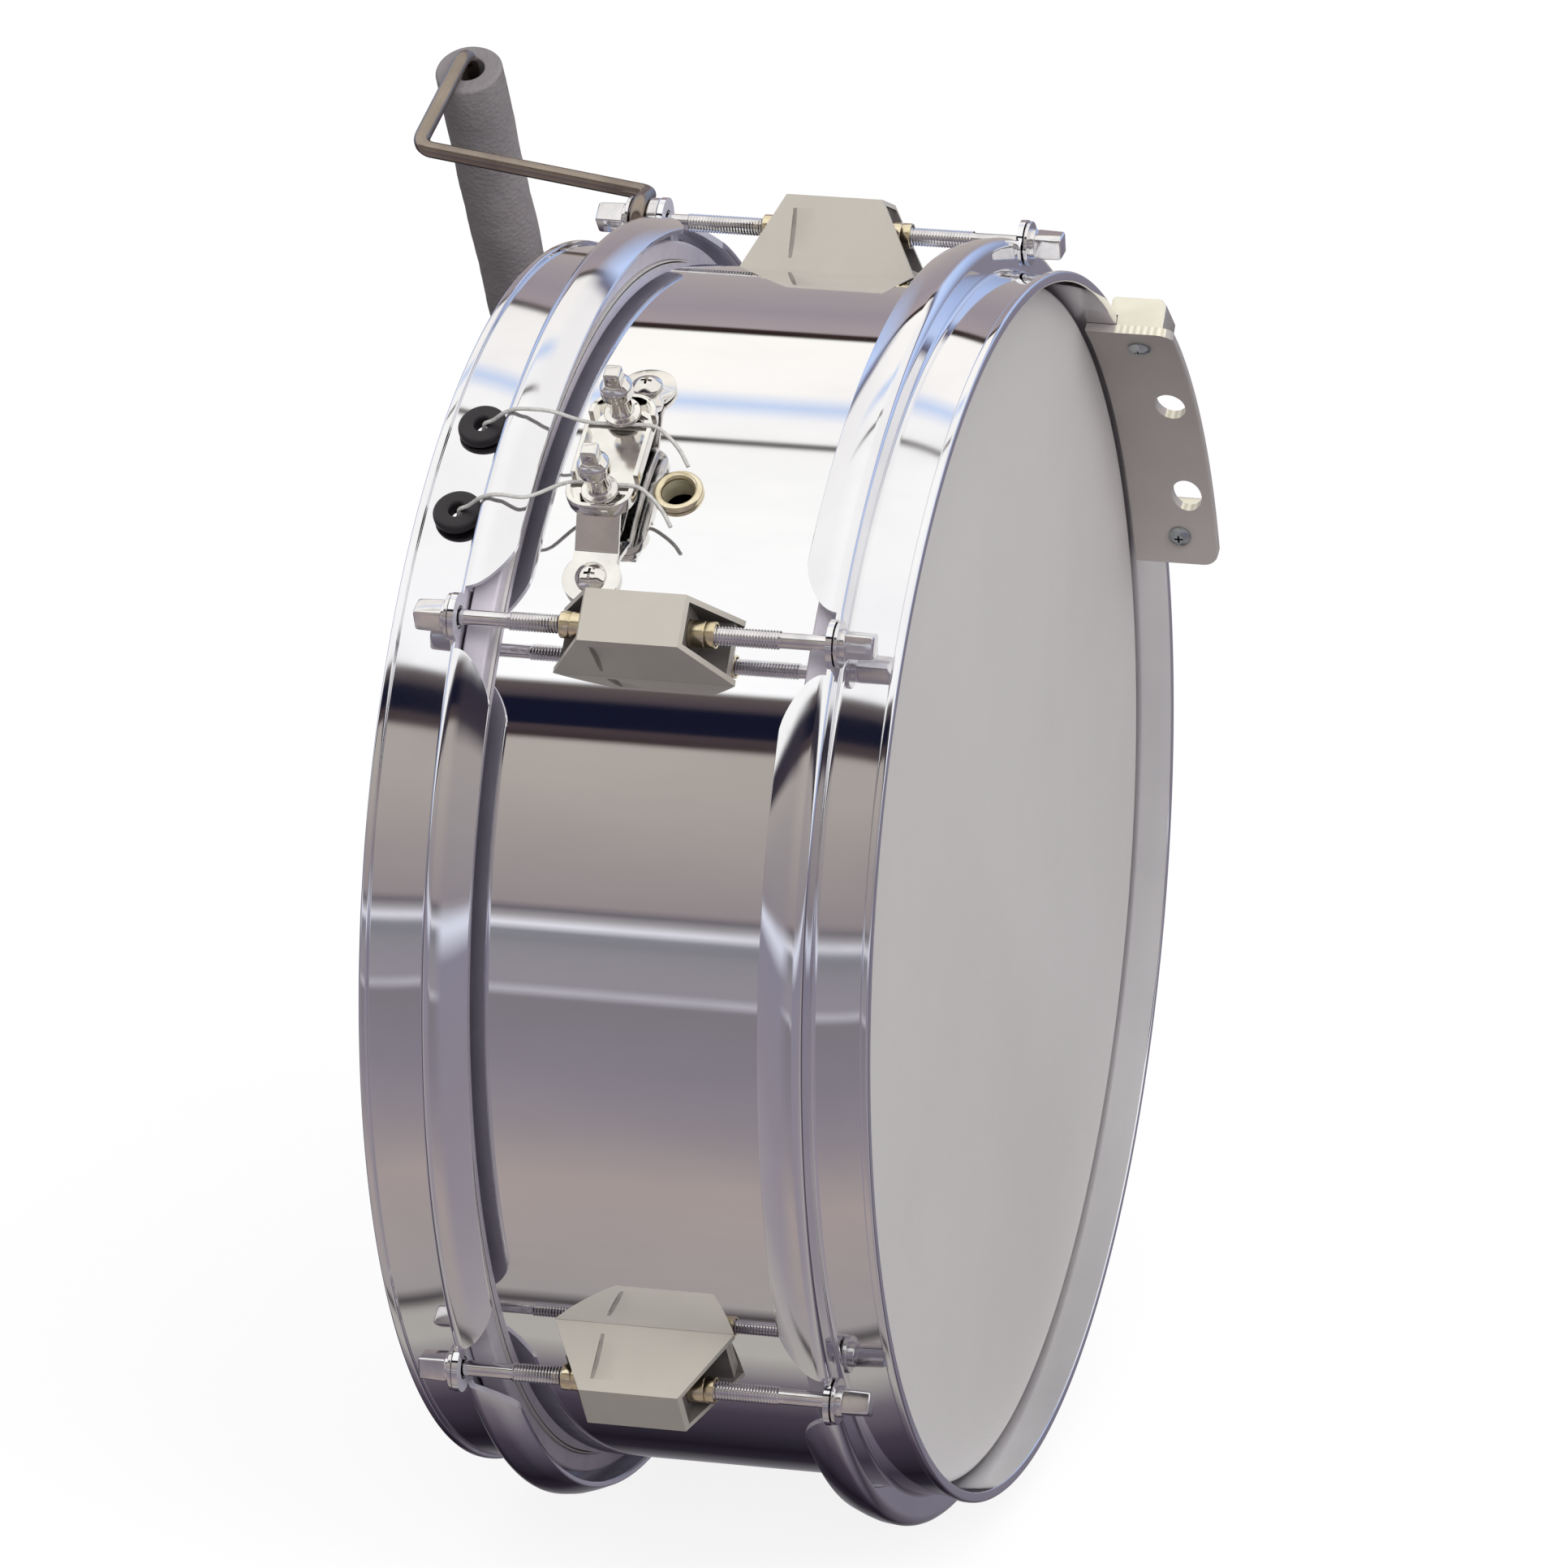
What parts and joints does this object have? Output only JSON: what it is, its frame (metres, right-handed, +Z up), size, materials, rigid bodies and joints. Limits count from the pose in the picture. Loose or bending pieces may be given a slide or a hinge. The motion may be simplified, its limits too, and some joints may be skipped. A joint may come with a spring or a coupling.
{
  "type": "marching snare drum",
  "caption": "Shallow metal marching snare drum with tension rods, cord-pulled snares, a padded leg rest and a clamped sling plate.",
  "frame": {"origin": "centre of the batter head's outer face", "axes": "+X along the drum's axis, out of the batter head; +Z up as the drum lies on its side; -Y towards the strainer's side"},
  "size_m": [0.2344, 0.427, 0.411],
  "materials": {
    "shell": "mirror-polished steel shell",
    "hoop": "polished pressed steel hoop",
    "rod": "bright plated steel with a darker rolled thread",
    "bright_fittings": "polished plated steel",
    "lug": "warm grey satin finish",
    "brass": "plain turned brass, lightly tarnished",
    "head": "matte coated polyester film",
    "flesh_hoop": "plain rolled aluminium channel",
    "cord": "off-white braided cord",
    "grommet": "black moulded rubber",
    "bail_wire": "nickel-plated wire, slightly bronze",
    "foam": "closed-cell grey foam with a matte skin",
    "carrier_plate": "smooth satin mid grey",
    "carrier_block": "pale satin metal",
    "zinc_screw": "bluish zinc plating"
  },
  "bodies": {
    "drum": {"shell": "shell", "vent_eyelet": "brass", "batter_head_film": "head", "snare_head_film": "head", "batter_flesh_hoop": "flesh_hoop", "snare_flesh_hoop": "flesh_hoop", "batter_hoop": "hoop", "snare_hoop": "hoop", "strainer_bridge": "bright_fittings", "strainer_tray": "bright_fittings", "strainer_upper_foot_screw": "bright_fittings", "strainer_lower_foot_screw": "bright_fittings", "butt_bridge": "bright_fittings", "butt_bar": "bright_fittings", "butt_first_screw": "bright_fittings", "butt_second_screw": "bright_fittings", "snare_wires": "bright_fittings", "strainer_upper_cord": "cord", "strainer_lower_cord": "cord", "butt_upper_cord": "cord", "butt_lower_cord": "cord", "strainer_upper_grommet": "grommet", "strainer_lower_grommet": "grommet", "butt_upper_grommet": "grommet", "butt_lower_grommet": "grommet", "leg_rest_bail": "bail_wire", "carrier_plate": "carrier_plate", "carrier_upper_block": "carrier_block", "carrier_lower_block": "carrier_block", "carrier_upper_screw": "zinc_screw", "carrier_lower_screw": "zinc_screw", "lug_1_casing": "lug", "lug_2_casing": "lug", "lug_3_casing": "lug", "lug_4_casing": "lug", "lug_5_casing": "lug", "batter_1_swivel_nut": "brass", "batter_2_swivel_nut": "brass", "batter_3_swivel_nut": "brass", "batter_4_swivel_nut": "brass", "batter_5_swivel_nut": "brass", "snare_1_swivel_nut": "brass", "snare_2_swivel_nut": "brass", "snare_3_swivel_nut": "brass", "snare_4_swivel_nut": "brass", "snare_5_swivel_nut": "brass"},
    "batter_1_tension_rod": {"batter_1_tension_rod": "rod"},
    "batter_2_tension_rod": {"batter_2_tension_rod": "rod"},
    "batter_3_tension_rod": {"batter_3_tension_rod": "rod"},
    "batter_4_tension_rod": {"batter_4_tension_rod": "rod"},
    "batter_5_tension_rod": {"batter_5_tension_rod": "rod"},
    "snare_1_tension_rod": {"snare_1_tension_rod": "rod"},
    "snare_2_tension_rod": {"snare_2_tension_rod": "rod"},
    "snare_3_tension_rod": {"snare_3_tension_rod": "rod"},
    "snare_4_tension_rod": {"snare_4_tension_rod": "rod"},
    "snare_5_tension_rod": {"snare_5_tension_rod": "rod"},
    "strainer_upper_clamp_screw": {"strainer_upper_clamp_screw": "bright_fittings"},
    "strainer_lower_clamp_screw": {"strainer_lower_clamp_screw": "bright_fittings"},
    "leg_rest_sleeve": {"leg_rest_sleeve": "foam"}
  },
  "joints": [
    {"name": "batter_1_tension_turn", "type": "hinge", "parent": "drum", "child": "batter_1_tension_rod", "pos_m": [0, 0.06045, 0.18066], "axis": [1, 0, 0], "range_deg": [-360, 3600]},
    {"name": "batter_2_tension_turn", "type": "hinge", "parent": "drum", "child": "batter_2_tension_rod", "pos_m": [0, -0.15313, 0.11331], "axis": [1, 0, 0], "range_deg": [-360, 3600]},
    {"name": "batter_3_tension_turn", "type": "hinge", "parent": "drum", "child": "batter_3_tension_rod", "pos_m": [0, -0.15509, -0.11062], "axis": [1, 0, 0], "range_deg": [-360, 3600]},
    {"name": "batter_4_tension_turn", "type": "hinge", "parent": "drum", "child": "batter_4_tension_rod", "pos_m": [0, 0.05728, -0.18168], "axis": [1, 0, 0], "range_deg": [-360, 3600]},
    {"name": "batter_5_tension_turn", "type": "hinge", "parent": "drum", "child": "batter_5_tension_rod", "pos_m": [0, 0.19049, -0.00166], "axis": [1, 0, 0], "range_deg": [-360, 3600]},
    {"name": "snare_1_tension_turn", "type": "hinge", "parent": "drum", "child": "snare_1_tension_rod", "pos_m": [-0.1292, 0.06045, 0.18066], "axis": [-1, 0, 0], "range_deg": [-360, 3600]},
    {"name": "snare_2_tension_turn", "type": "hinge", "parent": "drum", "child": "snare_2_tension_rod", "pos_m": [-0.1292, -0.15313, 0.11331], "axis": [-1, 0, 0], "range_deg": [-360, 3600]},
    {"name": "snare_3_tension_turn", "type": "hinge", "parent": "drum", "child": "snare_3_tension_rod", "pos_m": [-0.1292, -0.15509, -0.11062], "axis": [-1, 0, 0], "range_deg": [-360, 3600]},
    {"name": "snare_4_tension_turn", "type": "hinge", "parent": "drum", "child": "snare_4_tension_rod", "pos_m": [-0.1292, 0.05728, -0.18168], "axis": [-1, 0, 0], "range_deg": [-360, 3600]},
    {"name": "snare_5_tension_turn", "type": "hinge", "parent": "drum", "child": "snare_5_tension_rod", "pos_m": [-0.1292, 0.19049, -0.00166], "axis": [-1, 0, 0], "range_deg": [-360, 3600]},
    {"name": "strainer_upper_clamp_turn", "type": "hinge", "parent": "drum", "child": "strainer_upper_clamp_screw", "pos_m": [-0.085, -0.09938, 0.16258], "axis": [0, -0.585, 0.8111], "range_deg": [-90, 1440]},
    {"name": "strainer_lower_clamp_turn", "type": "hinge", "parent": "drum", "child": "strainer_lower_clamp_screw", "pos_m": [-0.085, -0.1229, 0.14562], "axis": [0, -0.585, 0.8111], "range_deg": [-90, 1440]},
    {"name": "leg_rest_sleeve_turn", "type": "hinge", "parent": "drum", "child": "leg_rest_sleeve", "pos_m": [-0.196, 0.17026, 0.12159], "axis": [0, -0.5348, 0.845], "continuous": true}
  ]
}
